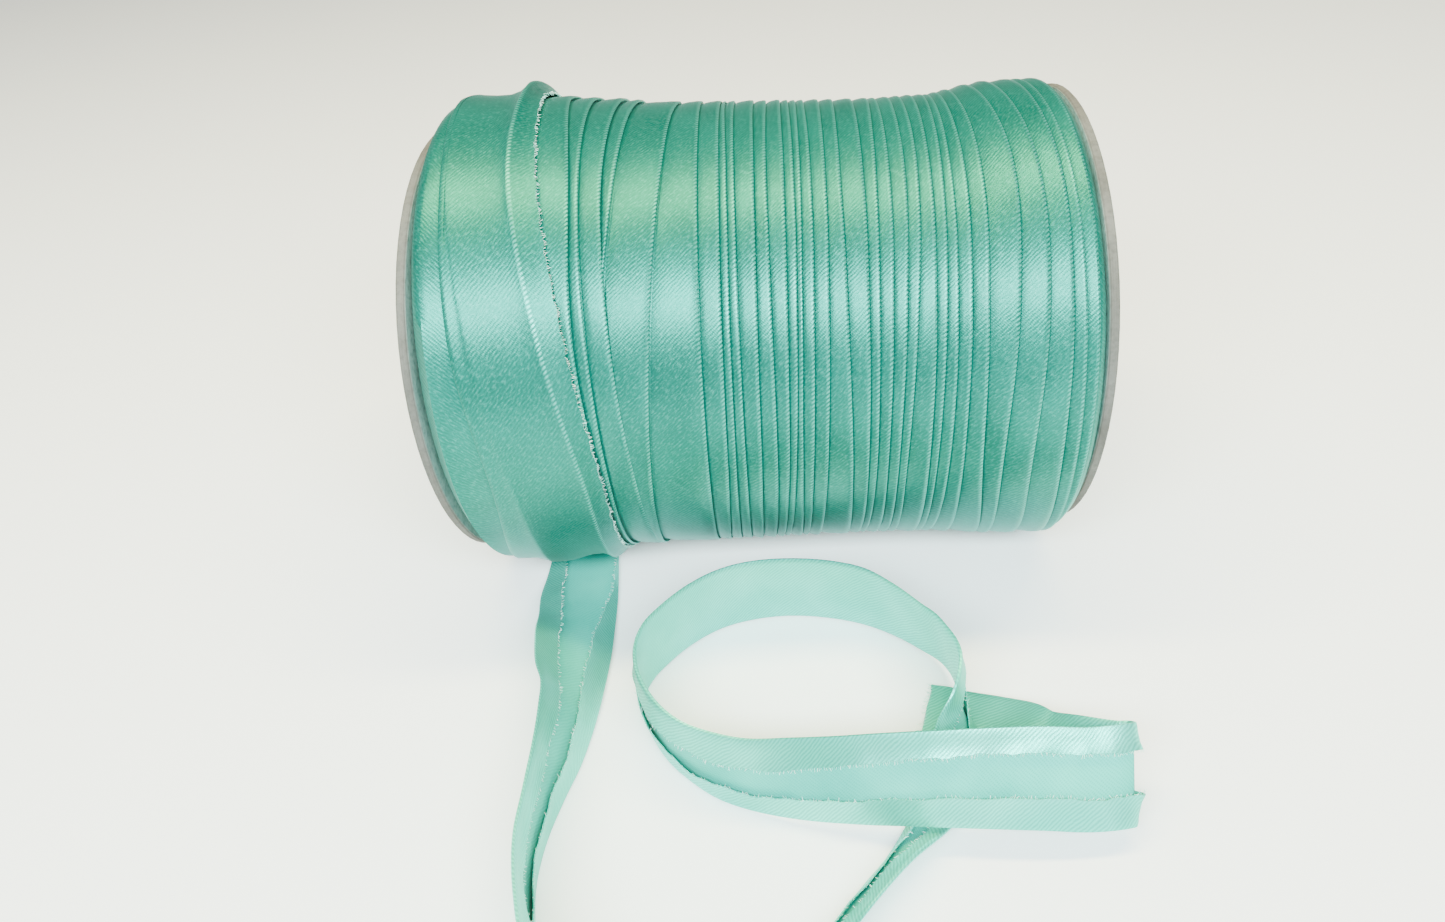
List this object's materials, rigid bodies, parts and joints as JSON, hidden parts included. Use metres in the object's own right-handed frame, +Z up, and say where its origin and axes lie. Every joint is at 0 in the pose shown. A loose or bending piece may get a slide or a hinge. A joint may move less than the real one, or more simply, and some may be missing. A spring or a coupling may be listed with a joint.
{
  "type": "spool of satin bias tape",
  "caption": "Wide spool of mint green satin bias tape between grey board discs, lying on its side with the folded loose end curled on the table.",
  "frame": {"origin": "on the table under the middle of the roll, at the centre of its flat spot", "axes": "+X along the spool's axis, +Z up, -Y towards the loose end"},
  "size_m": [0.1495, 0.2226, 0.1128],
  "materials": {
    "satin": "satin",
    "satin_loose": "satin",
    "board": "matte"
  },
  "bodies": {
    "root": {"wound_tape": "satin", "loose_tape": "satin_loose", "flange_left": "board", "flange_right": "board"}
  },
  "joints": []
}
